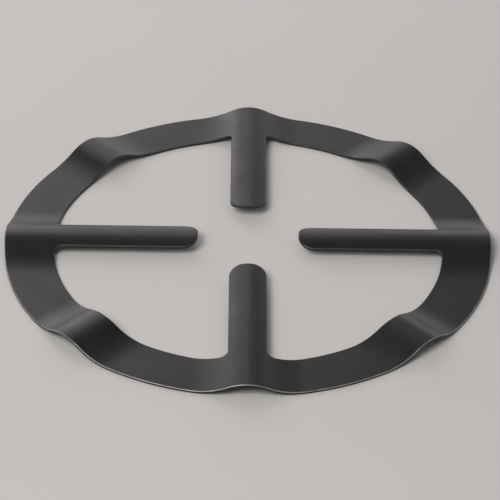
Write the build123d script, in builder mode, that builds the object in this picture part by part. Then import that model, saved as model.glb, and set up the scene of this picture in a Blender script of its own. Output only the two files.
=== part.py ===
from build123d import *
import math
import os

# A reducer ring for a gas hob: one ring of pressed sheet steel, in millimetres.
# The origin is the centre of the ring on the plane that its flats rest on, and +Z is up.

# Driving dimensions of the trimmed outline
outer_diameter = 145.0
band_width = 14.5
sheet_thickness = 0.8
tongue_width = 11.0
tip_flat = 2.0
middle_gap = 30.0
root_fillet = 2.0
edge_break = 0.2

# Driving dimensions of the pressed ridges
ridge_count = 8
ridge_height = 3.6
ridge_foot_width = 32.0
crest_radius = 13.0

# Sizes of the outline that follow
outer_radius = outer_diameter / 2
opening_radius = outer_radius - band_width
tip_radius = middle_gap / 2
tongue_length = opening_radius + band_width / 2 - tip_radius
tip_fillet = (tongue_width - tip_flat) / 2
tongue_count = ridge_count // 2

# Sizes of the ridges that follow, where the crest arc and each foot arc share a tangent
ridge_pitch = 360 / ridge_count
tongue_pitch = 2 * ridge_pitch
foot_half_width = ridge_foot_width / 2
arc_radii_sum = (foot_half_width**2 + ridge_height**2) / (2 * ridge_height)
flank_angle = 2 * math.degrees(math.atan(ridge_height / foot_half_width))
under_crest_radius = crest_radius - sheet_thickness
under_foot_radius = arc_radii_sum - under_crest_radius
total_height = ridge_height + sheet_thickness

# The sheet is pressed one band wider than the ring and trimmed afterwards
sheet_radius = outer_radius + band_width
pitch_half_width = sheet_radius * math.tan(math.radians(ridge_pitch / 2))
section_half_width = max(pitch_half_width, foot_half_width) + band_width


def is_cut_wall(face: Face) -> bool:
    """Tell whether a face is a cut wall of the sheet, which stands upright."""
    level = math.sin(math.radians(1))
    return abs(face.normal_at().Z) < level


# One pitch of the pressed sheet, whose section is flat, foot arc, crest arc, foot arc, flat
with BuildPart() as pressed_pitch:
    with BuildSketch(Plane.YZ) as ridge_section:
        with BuildLine() as under_side:
            flat = Line((-section_half_width, 0), (-foot_half_width, 0))
            foot = JernArc(flat @ 1, flat % 1, under_foot_radius, flank_angle)
            JernArc(foot @ 1, foot % 1, under_crest_radius, -flank_angle)
            mirror(about=Plane.YZ)
            offset(amount=sheet_thickness, side=Side.LEFT)
        make_face()
    extrude(amount=sheet_radius)
    with BuildSketch() as pitch_outline:
        Polygon(
            (0, 0),
            (sheet_radius, -pitch_half_width),
            (sheet_radius, pitch_half_width),
            align=None,
        )
    extrude(amount=total_height, mode=Mode.INTERSECT)

# The ring, which is the pitch repeated round the axis and trimmed to the outline
with BuildPart() as reducer_ring:
    with PolarLocations(0, ridge_count):
        add(pressed_pitch.part)
    with BuildSketch() as trimmed_outline:
        Circle(outer_radius)
        Circle(opening_radius, mode=Mode.SUBTRACT)
        with PolarLocations(tip_radius, tongue_count, angular_range=tongue_count * tongue_pitch):
            Rectangle(tongue_length, tongue_width, align=(Align.MIN, Align.CENTER))
        root_corners = trimmed_outline.vertices().group_by(SortBy.DISTANCE)[1]
        fillet(root_corners, radius=root_fillet)
        tip_corners = trimmed_outline.vertices().group_by(SortBy.DISTANCE)[0]
        fillet(tip_corners, radius=tip_fillet)
    extrude(amount=total_height, mode=Mode.INTERSECT)
    cut_walls = reducer_ring.faces().filter_by(is_cut_wall)
    cut_edges = cut_walls.edges().filter_by(Axis.Z, reverse=True)
    chamfer(cut_edges, length=edge_break)

reducer_ring.part.label = "reducer_ring"
os.makedirs("parts", exist_ok=True)
export_step(reducer_ring.part, "parts/reducer_ring.step")
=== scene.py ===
"""The looks of a reducer ring: its pressed steel sheet, its black coating, a studio and a camera.

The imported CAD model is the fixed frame. All lengths are in metres, +Z is up, and the origin is the
centre of the ring on the plane that its flats rest on.
"""

from __future__ import annotations

import logging
import math
from dataclasses import dataclass, field
from enum import Enum
from typing import Any

import bmesh
import bpy
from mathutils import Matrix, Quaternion, Vector

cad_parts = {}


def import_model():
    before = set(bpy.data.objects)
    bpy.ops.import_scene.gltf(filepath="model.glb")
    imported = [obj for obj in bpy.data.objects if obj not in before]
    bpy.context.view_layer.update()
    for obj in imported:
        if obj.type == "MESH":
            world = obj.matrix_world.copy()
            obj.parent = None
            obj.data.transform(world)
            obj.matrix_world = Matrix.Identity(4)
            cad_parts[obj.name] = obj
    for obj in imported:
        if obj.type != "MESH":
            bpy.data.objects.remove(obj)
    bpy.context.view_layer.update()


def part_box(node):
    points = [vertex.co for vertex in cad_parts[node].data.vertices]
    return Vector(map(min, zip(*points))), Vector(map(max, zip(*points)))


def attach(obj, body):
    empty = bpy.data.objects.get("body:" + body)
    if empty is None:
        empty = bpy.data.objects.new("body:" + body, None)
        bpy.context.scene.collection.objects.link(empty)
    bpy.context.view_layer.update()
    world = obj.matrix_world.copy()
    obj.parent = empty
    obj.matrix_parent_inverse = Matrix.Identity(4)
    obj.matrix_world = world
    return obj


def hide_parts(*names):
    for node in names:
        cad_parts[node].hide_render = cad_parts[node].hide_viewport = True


MM = 0.001
SHEET_THICKNESS = 0.8 * MM
NODE = "reducer_ring"
BODY = "root"
CUT_EDGE = "cut_edge"
CREST = "crest"

Colour = tuple[float, float, float, float]
Limits = tuple[float, float]
GridKey = tuple[int, int]

log = logging.getLogger("reducer_ring_scene")


class Side(Enum):
    """The two faces of the sheet, with the sign of their normal along +Z."""

    TOP = 1
    UNDER = -1


@dataclass(frozen=True)
class Pattern:
    """A noise pattern: the size of its blotches and how many finer layers they have.

    The seed is the pattern's fourth coordinate, so each seed gives a pattern of its own.
    """

    size: float
    detail: float
    seed: float = 0.0


class Socket:
    """A node's output, on which Python arithmetic adds Math nodes."""

    def __init__(self, graph: Graph, source: bpy.types.NodeSocket | None) -> None:
        """Keep the graph and the output that this value comes from."""
        self.graph = graph
        self.source = source

    def __getitem__(self, name: str) -> Socket:
        """Return another output of the same node, by its name."""
        return Socket(self.graph, self.source.node.outputs[name])

    def __add__(self, other: Socket | float) -> Socket:
        """Return this value plus another."""
        return self.graph.math("ADD", self, other)

    def __radd__(self, other: float) -> Socket:
        """Return a number plus this value."""
        return self.graph.math("ADD", other, self)

    def __sub__(self, other: Socket | float) -> Socket:
        """Return this value less another."""
        return self.graph.math("SUBTRACT", self, other)

    def __rsub__(self, other: float) -> Socket:
        """Return a number less this value."""
        return self.graph.math("SUBTRACT", other, self)

    def __mul__(self, other: Socket | float) -> Socket:
        """Return this value times another."""
        return self.graph.math("MULTIPLY", self, other)

    def __rmul__(self, other: float) -> Socket:
        """Return a number times this value."""
        return self.graph.math("MULTIPLY", other, self)

    def __truediv__(self, other: Socket | float) -> Socket:
        """Return this value over another."""
        return self.graph.math("DIVIDE", self, other)

    def __rtruediv__(self, other: float) -> Socket:
        """Return a number over this value."""
        return self.graph.math("DIVIDE", other, self)


class Graph:
    """A node tree that is filled by calls and by arithmetic on its sockets."""

    def __init__(self, tree: bpy.types.NodeTree) -> None:
        """Keep the tree that the nodes go into."""
        self.tree = tree

    def node(
        self,
        kind: str,
        settings: dict[str, Any] | None = None,
        inputs: dict[str | int, Any] | None = None,
    ) -> Socket:
        """Add a node, set it, and feed its inputs.

        Args:
            kind: The node's type.
            settings: The node's own properties, which are set first.
            inputs: Values or sockets, by the input's identifier or its place.

        Returns:
            The node's first output that is in use.
        """
        node = self.tree.nodes.new(kind)
        for name, value in (settings or {}).items():
            setattr(node, name, value)
        known = {entry.identifier: entry for entry in node.inputs}
        for key, value in (inputs or {}).items():
            entry = known[key] if isinstance(key, str) else node.inputs[key]
            if isinstance(value, Socket):
                self.tree.links.new(value.source, entry)
            else:
                entry.default_value = value
        shown = [output for output in node.outputs if output.enabled]
        return Socket(self, shown[0] if shown else None)

    def math(self, operation: str, *values: Socket | float) -> Socket:
        """Return the result of one Math operation on one or two values."""
        return self.node("ShaderNodeMath", {"operation": operation}, dict(enumerate(values)))

    def noise(self, place: Socket, pattern: Pattern) -> Socket:
        """Add a noise pattern.

        Args:
            place: The coordinates that it reads.
            pattern: Its size, detail and seed.

        Returns:
            Its strength, from 0 to 1.
        """
        return self.node(
            "ShaderNodeTexNoise",
            {"noise_dimensions": "4D"},
            {
                "Vector": place,
                "W": pattern.seed,
                "Scale": 1 / pattern.size,
                "Detail": pattern.detail,
            },
        )

    def ramp(self, value: Socket, limits: Limits) -> Socket:
        """Spread a value between two limits over the whole range from 0 to 1.

        Args:
            value: The value.
            limits: Where the rise starts and ends.

        Returns:
            0 below the first limit, 1 above the second and a smooth rise between them.
        """
        return self.node(
            "ShaderNodeMapRange",
            {"interpolation_type": "SMOOTHSTEP"},
            {"Value": value, "From Min": limits[0], "From Max": limits[1]},
        )

    def blend(self, share: Socket, first: Socket | Colour, second: Socket | Colour) -> Socket:
        """Mix two colours.

        Args:
            share: The second colour's share, from 0 to 1.
            first: The first colour.
            second: The second colour.

        Returns:
            The mixed colour.
        """
        return self.node(
            "ShaderNodeMix",
            {"data_type": "RGBA"},
            {"Factor_Float": share, "A_Color": first, "B_Color": second},
        )

    def surface(self, inputs: dict[str | int, Any]) -> None:
        """Add the surface shader, and lead it to the material's output.

        Args:
            inputs: The shader's values and sockets, by the input's identifier.
        """
        shader = self.node("ShaderNodeBsdfPrincipled", None, inputs)
        self.node("ShaderNodeOutputMaterial", None, {"Surface": shader})


def new_material(name: str) -> tuple[bpy.types.Material, Graph]:
    """Add a material with no nodes yet.

    Args:
        name: The material's name.

    Returns:
        The material, and the graph that fills its node tree.
    """
    material = bpy.data.materials.new(name)
    material.use_nodes = True
    material.node_tree.nodes.clear()
    return material, Graph(material.node_tree)


@dataclass(frozen=True)
class BlackCoating:
    """A thin satin black coating on sheet steel, fine-grained and thin along the cut edges, where the
    bare steel is partly wear and partly a painted highlight.

    Colours are linear. A pattern's limits are the strengths between which its effect sets in.
    """

    # Colours of the coating where it is thick and thin, of the dust on it and of the steel under it,
    # which along the cut edges is also a painted highlight
    thick: Colour = (0.0088, 0.0082, 0.0085, 1.0)
    thin: Colour = (0.0155, 0.0136, 0.0130, 1.0)
    dust: Colour = (0.08, 0.078, 0.075, 1.0)
    steel: Colour = (0.57, 0.555, 0.555, 1.0)

    # Patterns on the coating, and the limits of those that have an edge
    clouds: Pattern = Pattern(26 * MM, 3.0, 1.0)
    smears: Pattern = Pattern(9 * MM, 4.0, 2.0)
    grain: Pattern = Pattern(0.6 * MM, 2.0, 3.0)
    peel: Pattern = Pattern(1.3 * MM, 2.0, 4.0)
    waves: Pattern = Pattern(17 * MM, 1.0, 5.0)
    rubs: Pattern = Pattern(5 * MM, 3.0, 6.0)
    specks: Pattern = Pattern(0.8 * MM, 0.0, 7.0)
    cloud_limits: Limits = (0.35, 0.68)
    rub_limits: Limits = (0.36, 0.62)
    speck_limits: Limits = (0.79, 0.87)

    # How much clouds and grain thin the coating, and the strength of grain that leaves it thick
    cloud_thinning: float = 0.6
    grain_thinning: float = 0.8
    thick_grain: float = 0.3

    # How much a speck of dust hides, how much steel an edge shows where nothing rubs it, and how
    # much where it is worn most; this edge steel is partly wear and partly a steady painted highlight
    dust_cover: float = 0.25
    least_wear_and_highlight: float = 0.6
    steel_wear_and_highlight_cover: float = 0.85

    # Shine, where a pattern of the even strength leaves the roughness as it is
    roughness: float = 0.40
    smear_roughness: float = 0.24
    grain_roughness: float = 0.30
    even_strength: float = 0.5
    crest_polish: float = 0.04
    edge_polish: float = 0.05
    edge_metallic: float = 0.6
    refractive_index: float = 1.5

    # Heights of the bumps
    wave_height: float = 0.05 * MM
    peel_height: float = 0.012 * MM
    grain_height: float = 0.012 * MM

    def material(self, name: str) -> bpy.types.Material:
        """Build the coating's shader.

        Args:
            name: The material's name.

        Returns:
            The material.
        """
        material, graph = new_material(name)
        place = graph.node("ShaderNodeTexCoord")["Object"]
        edge = self._mask(graph, CUT_EDGE)
        crest = self._mask(graph, CREST)
        clouds = graph.ramp(graph.noise(place, self.clouds), self.cloud_limits)
        smears = graph.noise(place, self.smears)
        grain = graph.noise(place, self.grain)
        peel = graph.noise(place, self.peel)
        waves = graph.noise(place, self.waves)
        rubs = graph.ramp(graph.noise(place, self.rubs), self.rub_limits)
        # The steel along the cut edges: partly wear and partly a painted highlight, steady enough to draw
        # an even bright line
        worn = edge * (self.least_wear_and_highlight + (1 - self.least_wear_and_highlight) * rubs)
        specks = graph.ramp(graph.noise(place, self.specks), self.speck_limits)
        thinning = clouds * self.cloud_thinning + (grain - self.thick_grain) * self.grain_thinning
        coat = graph.blend(thinning, self.thick, self.thin)
        dusted = graph.blend(specks * self.dust_cover, coat, self.dust)
        colour = graph.blend(worn * self.steel_wear_and_highlight_cover, dusted, self.steel)
        smeared = self.roughness + (smears - self.even_strength) * self.smear_roughness
        rough = smeared + (grain - self.even_strength) * self.grain_roughness
        height = waves * self.wave_height + peel * self.peel_height + grain * self.grain_height
        bump = graph.node("ShaderNodeBump", None, {"Strength": 1.0, "Distance": 1.0, "Height": height})
        graph.surface(
            {
                "Base Color": colour,
                "Metallic": worn * self.edge_metallic,
                "Roughness": rough - crest * self.crest_polish - worn * self.edge_polish,
                "IOR": self.refractive_index,
                "Normal": bump,
            }
        )
        return material

    @staticmethod
    def _mask(graph: Graph, name: str) -> Socket:
        """Return a value that the mesh stores at its vertices."""
        return graph.node("ShaderNodeAttribute", {"attribute_name": name})["Fac"]


@dataclass(frozen=True)
class PaleFloor:
    """A matt pale floor with a faint mottle between two linear colours."""

    light: Colour = (0.86, 0.86, 0.85, 1.0)
    dark: Colour = (0.82, 0.82, 0.81, 1.0)
    mottle: Pattern = Pattern(60 * MM, 4.0)
    roughness: float = 0.9
    specular: float = 0.2

    def material(self, name: str) -> bpy.types.Material:
        """Build the floor's shader.

        Args:
            name: The material's name.

        Returns:
            The material.
        """
        material, graph = new_material(name)
        place = graph.node("ShaderNodeTexCoord")["Object"]
        colour = graph.blend(graph.noise(place, self.mottle), self.dark, self.light)
        graph.surface(
            {
                "Base Color": colour,
                "Roughness": self.roughness,
                "Specular IOR Level": self.specular,
            }
        )
        return material


@dataclass(frozen=True)
class Outline:
    """The trimmed outline of one tongue and its share of the band, as a grid of quads.

    A row runs across the tongue or along the band. Rows below 0 are on the tongue, row 0 is at the
    opening and the last row is at the outer rim. Columns run from one end of the band to the other,
    and column 0 is the middle of the tongue. The inset moves the whole outline into the sheet.
    """

    outer_radius: float
    band_width: float = 14.5 * MM
    tongue_width: float = 11.0 * MM
    tip_flat: float = 2.0 * MM
    middle_gap: float = 30.0 * MM
    root_fillet: float = 2.0 * MM
    tongue_count: int = 4
    band_rows: int = 16
    root_rows: int = 8
    straight_rows: int = 36
    tip_rows: int = 10
    tongue_columns: int = 12
    band_columns: int = 52

    @property
    def opening_radius(self) -> float:
        """Radius of the round opening inside the band."""
        return self.outer_radius - self.band_width

    @property
    def tip_fillet(self) -> float:
        """Radius of the two corners at the tip of a tongue."""
        return (self.tongue_width - self.tip_flat) / 2

    @property
    def root_centre(self) -> tuple[float, float]:
        """Centre of the fillet between a tongue's side and the opening.

        Returns:
            Its x and y, on the left side of the tongue.
        """
        away = self.opening_radius - self.root_fillet
        aside = self.tongue_width / 2 + self.root_fillet
        return math.sqrt(away**2 - aside**2), aside

    @property
    def root_angle(self) -> float:
        """Angle round the ring at which the root fillet meets the opening."""
        return math.atan2(self.root_centre[1], self.root_centre[0])

    @property
    def first_row(self) -> int:
        """The row at the tip of the tongue."""
        return -(self.root_rows + self.straight_rows + self.tip_rows)

    @property
    def last_column(self) -> int:
        """The last column of the band, halfway to the next tongue."""
        return self.tongue_columns + self.band_columns

    def columns(self, row: int) -> int:
        """Return how many columns a row has on each side of the middle."""
        return self.tongue_columns if row < 0 else self.last_column

    def angle(self, column: int) -> float:
        """Find where a column meets the band.

        Args:
            column: The column, which is negative on the right side.

        Returns:
            The angle round the ring.
        """
        beyond = abs(column) - self.tongue_columns
        if beyond <= 0:
            return self.root_angle * column / self.tongue_columns
        share = beyond / self.band_columns
        half_pitch = math.pi / self.tongue_count
        return math.copysign(self.root_angle + share * (half_pitch - self.root_angle), column)

    def station(self, row: int, inset: float) -> tuple[float, float, float]:
        """Find where a row of the tongue meets the outline.

        Args:
            row: The row, which is below 0.
            inset: How far the outline is moved into the sheet.

        Returns:
            The outline's x and y on the left side, and the row's x in the middle.
        """
        centre_x, centre_y = self.root_centre
        below_root = -row - self.root_rows
        if below_root <= 0:
            share = 1 + row / self.root_rows
            turn = share * (math.pi / 2 + self.root_angle) - math.pi / 2
            reach = self.root_fillet + inset
            middle = centre_x + share * (self.opening_radius + inset - centre_x)
            return centre_x + reach * math.cos(turn), centre_y + reach * math.sin(turn), middle
        tip_x = self.middle_gap / 2 + self.tip_fillet
        below_side = below_root - self.straight_rows
        if below_side <= 0:
            x = centre_x + (tip_x - centre_x) * below_root / self.straight_rows
            return x, self.tongue_width / 2 - inset, x
        turn = math.pi / 2 * (1 + below_side / self.tip_rows)
        reach = self.tip_fillet - inset
        x = tip_x + reach * math.cos(turn)
        return x, self.tip_flat / 2 + reach * math.sin(turn), x

    def point(self, row: int, column: int, inset: float) -> tuple[float, float]:
        """Find a grid point.

        Args:
            row: Its row.
            column: Its column.
            inset: How far the outline is moved into the sheet.

        Returns:
            Its x and y.
        """
        if row >= 0:
            near = self.opening_radius + inset
            radius = near + (self.outer_radius - inset - near) * row / self.band_rows
            turn = self.angle(column)
            return radius * math.cos(turn), radius * math.sin(turn)
        side_x, side_y, middle_x = self.station(row, inset)
        turn, full = self.angle(column), self.root_angle
        bow = (math.cos(turn) - math.cos(full)) / (1 - math.cos(full))
        return side_x + (middle_x - side_x) * bow, side_y * math.sin(turn) / math.sin(full)

    def inner_border(self) -> list[GridKey]:
        """List the grid points from one end of the opening, round the tongue, to the other.

        Returns:
            The row and column of each.
        """
        side = range(self.last_column, self.tongue_columns, -1)
        length = range(0, self.first_row, -1)
        tip = range(-self.tongue_columns, self.tongue_columns + 1)
        into = [(0, -column) for column in side] + [(row, -self.tongue_columns) for row in length]
        back = [(row, self.tongue_columns) for row in reversed(length)]
        out = [(0, column) for column in reversed(side)]
        return into + [(self.first_row, column) for column in tip] + back + out

    def outer_border(self) -> list[GridKey]:
        """Return the row and column of each grid point along the outer rim."""
        whole = range(-self.last_column, self.last_column + 1)
        return [(self.band_rows, column) for column in whole]


@dataclass(frozen=True)
class CutEdge:
    """The cut edge of the sheet: rounded over at the top by the shear, and tighter below.

    The margin is the strip of plain sheet between the rounding and the first row of each face.
    """

    sheet: float
    top_round: float = 0.27 * MM
    under_round: float = 0.18 * MM
    steps: int = 4
    # The steel on the top rounding is partly wear and partly painted light: a painted highlight along the
    # outer rim, and little on the inner edges, which stay dark as painted shade
    wear_and_highlight_spread: float = 1.6
    outer_wear_and_highlight: float = 1.0
    inner_wear_and_highlight: float = 0.12
    margin: float = 0.16 * MM

    def profile(self) -> list[tuple[float, float, float]]:
        """Follow the edge from the top down.

        Returns:
            The inset, the height and the share of steel, partly wear and partly painted highlight, of
            each line along the edge.
        """
        right_angle = math.pi / 2
        turns = [right_angle * step / self.steps for step in range(self.steps + 1)]
        top = [self._corner(self.top_round, turn) for turn in turns]
        under = [self._corner(self.under_round, turn) for turn in reversed(turns)]
        bare = [min(1.0, self.wear_and_highlight_spread * math.sin(2 * turn)) for turn in turns]
        upper = [(inset, self.sheet - drop, wear) for (inset, drop), wear in zip(top, bare)]
        lower = [(inset, rise, 0.0) for inset, rise in under]
        return upper + lower

    @staticmethod
    def _corner(radius: float, turn: float) -> tuple[float, float]:
        """Return the inset and the drop of a rounded corner at one turn of its normal."""
        return radius * (1 - math.sin(turn)), radius * (1 - math.cos(turn))


@dataclass(frozen=True)
class PressTool:
    """The press that raises the ridges: each is a crest arc between two foot arcs."""

    ridge_height: float
    sheet: float
    ridge_count: int = 8
    foot_width: float = 32.0 * MM
    crest_radius: float = 13.0 * MM
    crest_wear_width: float = 1.6 * MM
    join_distance: float = 0.002 * MM

    def apply(self, blank: bpy.types.Object, copies: int, finish: bpy.types.Material) -> bpy.types.Mesh:
        """Repeat the blank round the ring and press it.

        Args:
            blank: The flat blank of one tongue.
            copies: How many blanks go round the ring.
            finish: The material of the sheet.

        Returns:
            The pressed ring as a plain mesh.
        """
        sizes: dict[str, Any] = {
            "Tongue Count": copies,
            "Ridge Count": self.ridge_count,
            "Ridge Height": self.ridge_height,
            "Foot Width": self.foot_width,
            "Crest Radius": self.crest_radius,
            "Sheet Thickness": self.sheet,
            "Crest Wear Width": self.crest_wear_width,
            "Join Distance": self.join_distance,
            "Finish": finish,
        }
        tree = bpy.data.node_groups.new("press_ring", "GeometryNodeTree")
        identifiers = self._interface(tree, sizes)
        self._fill(Graph(tree))
        modifier = blank.modifiers.new("press_ring", "NODES")
        modifier.node_group = tree
        for name, value in sizes.items():
            modifier[identifiers[name]] = value
        blank.update_tag()
        evaluated = blank.evaluated_get(bpy.context.evaluated_depsgraph_get())
        mesh = bpy.data.meshes.new_from_object(evaluated)
        blank.modifiers.remove(modifier)
        return mesh

    @staticmethod
    def _interface(tree: bpy.types.NodeTree, sizes: dict[str, Any]) -> dict[str, str]:
        """Give the tree its geometry sockets and one input for each size.

        Args:
            tree: The tree.
            sizes: The inputs' names and values.

        Returns:
            The identifier of each input, by its name.
        """
        tree.interface.new_socket("Geometry", in_out="INPUT", socket_type="NodeSocketGeometry")
        tree.interface.new_socket("Geometry", in_out="OUTPUT", socket_type="NodeSocketGeometry")
        kinds = {int: "NodeSocketInt", float: "NodeSocketFloat"}
        identifiers = {}
        for name, value in sizes.items():
            kind = kinds.get(type(value), "NodeSocketMaterial")
            socket = tree.interface.new_socket(name, in_out="INPUT", socket_type=kind)
            identifiers[name] = socket.identifier
        return identifiers

    def _fill(self, graph: Graph) -> None:
        """Add the nodes: repeat and join, mark the crests, press, smooth, realize and dress.

        Args:
            graph: The tree.
        """
        given = graph.node("NodeGroupInput")
        ring = self._repeat(graph, given)
        position = graph.node("GeometryNodeInputPosition")
        place = graph.node("ShaderNodeSeparateXYZ", None, {"Vector": position})
        across = self._across(graph, place["X"], place["Y"], given["Ridge Count"])
        worn = 1 - graph.math("MINIMUM", across / given["Crest Wear Width"], 1.0)
        marked = graph.node(
            "GeometryNodeStoreNamedAttribute",
            {"data_type": "FLOAT", "domain": "POINT"},
            {"Geometry": ring, "Name": CREST, "Value": worn},
        )
        rise = self._rise(graph, given, across, place["Z"])
        lift = graph.node("ShaderNodeCombineXYZ", None, {"Z": rise})
        pressed = graph.node("GeometryNodeSetPosition", None, {"Geometry": marked, "Offset": lift})
        smooth = graph.node("GeometryNodeSetShadeSmooth", None, {"Geometry": pressed})
        real = graph.node("GeometryNodeRealizeInstances", None, {"Geometry": smooth})
        finish = {"Geometry": real, "Material": given["Finish"]}
        dressed = graph.node("GeometryNodeSetMaterial", None, finish)
        graph.node("NodeGroupOutput", None, {0: dressed})

    @staticmethod
    def _repeat(graph: Graph, given: Socket) -> Socket:
        """Repeat the blank round the axis and join the copies at their ends.

        Args:
            graph: The tree.
            given: The tree's inputs.

        Returns:
            The flat ring.
        """
        copies = given["Tongue Count"]
        points = graph.node("GeometryNodePoints", None, {"Count": copies})
        turn = graph.node("GeometryNodeInputIndex") * (math.tau / copies)
        axis_turn = {"Axis": (0, 0, 1), "Angle": turn}
        rotation = graph.node("FunctionNodeAxisAngleToRotation", None, axis_turn)
        placed = graph.node(
            "GeometryNodeInstanceOnPoints",
            None,
            {"Points": points, "Instance": given["Geometry"], "Rotation": rotation},
        )
        joined = graph.node("GeometryNodeRealizeInstances", None, {"Geometry": placed})
        return graph.node(
            "GeometryNodeMergeByDistance",
            None,
            {"Geometry": joined, "Distance": given["Join Distance"]},
        )

    @staticmethod
    def _across(graph: Graph, x: Socket, y: Socket, ridges: Socket) -> Socket:
        """Find the distance of a point from the crest line of the nearest ridge.

        Args:
            graph: The tree.
            x: The point's x.
            y: The point's y.
            ridges: How many ridges go round the ring.

        Returns:
            The distance.
        """
        pitch = math.tau / ridges
        nearest = graph.math("ROUND", graph.math("ARCTAN2", y, x) / pitch) * pitch
        offset = y * graph.math("COSINE", nearest) - x * graph.math("SINE", nearest)
        return graph.math("ABSOLUTE", offset)

    @staticmethod
    def _rise(graph: Graph, given: Socket, across: Socket, level: Socket) -> Socket:
        """Find how far a point of the flat sheet is lifted by the press.

        Args:
            graph: The tree.
            given: The tree's inputs.
            across: The distance from the crest line.
            level: The height in the flat sheet, from 0 on its under side.

        Returns:
            The lift, which keeps the sheet's thickness square to its surface.
        """
        height = given["Ridge Height"]
        half = given["Foot Width"] / 2
        square_sum = half * half + height * height
        under_crest = given["Crest Radius"] - given["Sheet Thickness"]
        crest = under_crest + level
        foot = square_sum / (2 * height) - under_crest - level
        inward = graph.math("MAXIMUM", half - across, 0.0)
        foot_rise = foot - graph.math("SQRT", foot * foot - inward * inward)
        crest_rise = height - crest + graph.math("SQRT", crest * crest - across * across)
        flank_sine = 2 * half * height / square_sum
        on_crest = graph.math("LESS_THAN", across, crest * flank_sine)
        return foot_rise + on_crest * (crest_rise - foot_rise)


@dataclass
class PressedRing:
    """The ring itself: a flat blank, cut, repeated round the axis and pressed into ridges."""

    outline: Outline
    edge: CutEdge
    press: PressTool
    finish: BlackCoating = field(default_factory=BlackCoating)
    name: str = "pressed_ring"

    def build(self) -> bpy.types.Object:
        """Make the ring, dress it and set it in the frame.

        Returns:
            The finished piece.
        """
        coating = self.finish.material("satin_black_coating")
        blank = self._link("ring_blank", self._blank())
        blank.data.materials.append(coating)
        mesh = self.press.apply(blank, self.outline.tongue_count, coating)
        bpy.data.objects.remove(blank)
        ring = self._link(self.name, mesh)
        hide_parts(NODE)
        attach(ring, BODY)
        return ring

    @staticmethod
    def _link(name: str, mesh: bpy.types.Mesh) -> bpy.types.Object:
        """Put a mesh in the scene.

        Args:
            name: The name of the mesh and its object.
            mesh: The mesh.

        Returns:
            The object, which sits at the origin.
        """
        mesh.name = name
        placed = bpy.data.objects.new(name, mesh)
        bpy.context.scene.collection.objects.link(placed)
        return placed

    def _blank(self) -> bpy.types.Mesh:
        """Make the flat blank of one tongue.

        Returns:
            Its mesh, closed but for its two ends on the band.
        """
        shape = bmesh.new()
        wear = shape.verts.layers.float.new(CUT_EDGE)
        top = self._face(shape, Side.TOP, self.edge.top_round)
        under = self._face(shape, Side.UNDER, self.edge.under_round)
        # Much steel on the outer rim for its painted highlight, little on the inner edges as painted
        # shade; the rest is wear
        inner = (self.outline.inner_border(), False, self.edge.inner_wear_and_highlight)
        outer = (self.outline.outer_border(), True, self.edge.outer_wear_and_highlight)
        for border, outward, share in (inner, outer):
            lines = [[top[key] for key in border]]
            for inset, height, worn in self.edge.profile():
                line = [shape.verts.new((*self.outline.point(*key, inset), height)) for key in border]
                for vertex in line:
                    vertex[wear] = worn * share
                lines.append(line)
            lines.append([under[key] for key in border])
            for upper, lower in zip(lines, lines[1:]):
                self._strip(shape, upper, lower, outward)
        mesh = bpy.data.meshes.new("ring_blank")
        shape.to_mesh(mesh)
        shape.free()
        return mesh

    def _face(
        self, shape: bmesh.types.BMesh, side: Side, rounding: float
    ) -> dict[GridKey, bmesh.types.BMVert]:
        """Add the grid of one face of the sheet.

        Args:
            shape: The mesh that it goes into.
            side: Which face of the sheet it is.
            rounding: The radius of the cut edge that borders it.

        Returns:
            Its vertices by row and column.
        """
        outline = self.outline
        height = self.edge.sheet if side is Side.TOP else 0.0
        inset = rounding + self.edge.margin
        grid = {}
        for row in range(outline.first_row, outline.band_rows + 1):
            reach = outline.columns(row)
            for column in range(-reach, reach + 1):
                grid[row, column] = shape.verts.new((*outline.point(row, column, inset), height))
        for row in range(outline.first_row, outline.band_rows):
            reach = outline.columns(row)
            for column in range(-reach, reach):
                corners = [(row, column), (row + 1, column), (row + 1, column + 1), (row, column + 1)]
                shape.faces.new([grid[key] for key in corners[:: side.value]])
        return grid

    @staticmethod
    def _strip(
        shape: bmesh.types.BMesh,
        upper: list[bmesh.types.BMVert],
        lower: list[bmesh.types.BMVert],
        outward: bool,
    ) -> None:
        """Add the quads between two lines along the cut edge, with their faces turned out.

        Args:
            shape: The mesh that they go into.
            upper: The vertices of the upper line.
            lower: The vertices of the lower line.
            outward: Whether the edge faces away from the ring's axis.
        """
        for here in range(len(upper) - 1):
            quad = [upper[here], lower[here], lower[here + 1], upper[here + 1]]
            shape.faces.new(quad if outward else quad[::-1])


@dataclass(frozen=True)
class Softbox:
    """A soft rectangular studio light that points at the ring, with its power in watts."""

    name: str
    centre: tuple[float, float, float]
    width: float
    height: float
    power: float
    colour: tuple[float, float, float]
    aim: tuple[float, float, float] = (0.0, 0.0, 0.0)

    def build(self) -> None:
        """Add the light to the scene."""
        lamp = bpy.data.lights.new(self.name, "AREA")
        lamp.shape = "RECTANGLE"
        lamp.size = self.width
        lamp.size_y = self.height
        lamp.energy = self.power
        lamp.color = self.colour
        light = bpy.data.objects.new(self.name, lamp)
        light.location = self.centre
        light.rotation_mode = "QUATERNION"
        toward = Vector(self.aim) - Vector(self.centre)
        light.rotation_quaternion = toward.to_track_quat("-Z", "Y")
        bpy.context.scene.collection.objects.link(light)


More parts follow.
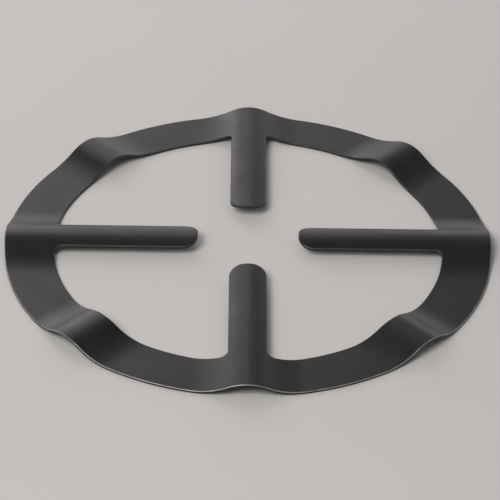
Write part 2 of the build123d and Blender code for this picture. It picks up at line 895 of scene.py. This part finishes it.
@dataclass
class Studio:
    """A pale floor, a dim sky and the softboxes."""

    softboxes: list[Softbox]
    floor_finish: PaleFloor = field(default_factory=PaleFloor)
    floor_half_width: float = 3.0
    floor_gap: float = 0.02 * MM
    sky_colour: Colour = (1.0, 0.975, 0.985, 1.0)
    sky_strength: float = 0.20

    def build(self) -> None:
        """Add the floor, the sky and the lights to the scene."""
        self._add_floor()
        self._add_sky()
        for softbox in self.softboxes:
            softbox.build()
            log.info("softbox %s: %.2f W", softbox.name, softbox.power)

    def _add_floor(self) -> None:
        """Add the floor, just below the ring."""
        half, level = self.floor_half_width, -self.floor_gap
        mesh = bpy.data.meshes.new("studio_floor")
        corners = [(-half, -half, level), (half, -half, level), (half, half, level), (-half, half, level)]
        mesh.from_pydata(corners, [], [(0, 1, 2, 3)])
        mesh.materials.append(self.floor_finish.material("pale_floor"))
        floor = bpy.data.objects.new("studio_floor", mesh)
        bpy.context.scene.collection.objects.link(floor)

    def _add_sky(self) -> None:
        """Light the scene evenly from all sides."""
        world = bpy.data.worlds.new("studio_sky")
        world.use_nodes = True
        sky = world.node_tree.nodes["Background"]
        sky.inputs["Color"].default_value = self.sky_colour
        sky.inputs["Strength"].default_value = self.sky_strength
        bpy.context.scene.world = world


@dataclass(frozen=True)
class ViewCamera:
    """The camera at the photograph's viewing angle, found from the ring's outline there.

    The azimuth is counted from the front of the ring, and the aim is above the ring's centre.
    """

    distance: float = 0.6939
    elevation: float = math.radians(34.83)
    azimuth: float = math.radians(-0.377)
    roll: float = math.radians(0.969)
    lens_mm: float = 166.95
    sensor_mm: float = 36.0
    shift_x: float = 0.0039
    shift_y: float = -0.0123
    aim_height: float = 0.8 * MM

    def build(self) -> None:
        """Add the camera and make it the scene's own."""
        data = bpy.data.cameras.new("view_camera")
        data.lens = self.lens_mm
        data.sensor_width = self.sensor_mm
        data.shift_x = self.shift_x
        data.shift_y = self.shift_y
        camera = bpy.data.objects.new("view_camera", data)
        level = math.cos(self.elevation)
        back = Vector(
            (
                math.sin(self.azimuth) * level,
                -math.cos(self.azimuth) * level,
                math.sin(self.elevation),
            )
        )
        camera.location = back * self.distance + Vector((0, 0, self.aim_height))
        camera.rotation_mode = "QUATERNION"
        look = (-back).to_track_quat("-Z", "Y")
        camera.rotation_quaternion = look @ Quaternion((0, 0, 1), self.roll)
        bpy.context.scene.collection.objects.link(camera)
        bpy.context.scene.camera = camera


def softboxes() -> list[Softbox]:
    """Choose the lights.

    Returns:
        Three softboxes behind the ring for its sheen, and one in front for the floor.
    """
    blush = (1.0, 0.95, 0.97)
    warm = (1.0, 0.965, 0.93)
    return [
        Softbox(
            name="behind_low",
            centre=(0.0, 0.58, 0.13),
            width=1.0,
            height=0.22,
            power=0.76,
            colour=blush,
        ),
        Softbox(
            name="behind_left",
            centre=(-0.273, 0.515, 0.212),
            width=0.25,
            height=0.20,
            power=0.29,
            colour=blush,
        ),
        Softbox(
            name="behind_upper",
            centre=(-0.13, 0.49, 0.40),
            width=0.36,
            height=0.24,
            power=0.32,
            colour=blush,
        ),
        Softbox(
            name="front_left",
            centre=(-0.45, -0.65, 0.90),
            width=0.60,
            height=0.60,
            power=6.6,
            colour=warm,
        ),
    ]


def main() -> None:
    """Build the ring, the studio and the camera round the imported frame, and keep both sizes."""
    logging.basicConfig(level=logging.INFO, format="%(name)s: %(message)s")
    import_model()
    low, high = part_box(NODE)
    ring = PressedRing(
        outline=Outline(outer_radius=(high.x - low.x) / 2),
        edge=CutEdge(sheet=SHEET_THICKNESS),
        press=PressTool(ridge_height=high.z - low.z - SHEET_THICKNESS, sheet=SHEET_THICKNESS),
    )
    piece = ring.build()
    log.info("%s: %d vertices, %d faces", piece.name, len(piece.data.vertices), len(piece.data.polygons))
    Studio(softboxes()).build()
    ViewCamera().build()
    bpy.context.scene.view_settings.view_transform = "Standard"


if __name__ == "__main__":
    main()
